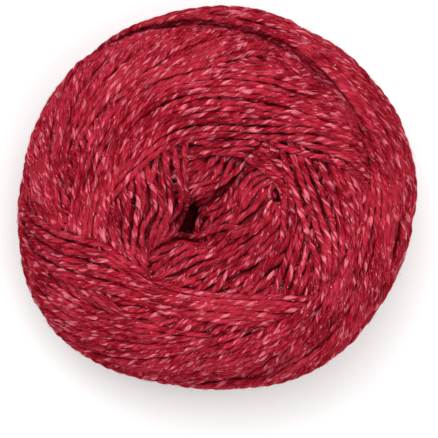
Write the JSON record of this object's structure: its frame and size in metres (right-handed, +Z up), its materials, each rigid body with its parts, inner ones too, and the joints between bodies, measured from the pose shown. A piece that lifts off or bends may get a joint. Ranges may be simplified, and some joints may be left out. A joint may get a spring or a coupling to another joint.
{
  "type": "wound yarn ball",
  "caption": "Flattened machine-wound ball of fine tweedy wool and silk yarn, lying on its flat side, with a sunken off-centre middle.",
  "frame": {"origin": "on the surface the ball rests on, under the middle of its outline", "axes": "+Z up through the sunken middle, +X along the longest width of the outline, +Y the width across it"},
  "size_m": [0.094, 0.0902, 0.056],
  "materials": {
    "yarn": "fine two-ply raspberry-red yarn with paler flecks, matt with a faint silky sheen"
  },
  "bodies": {
    "root": {"wound_yarn": "yarn"}
  },
  "joints": []
}
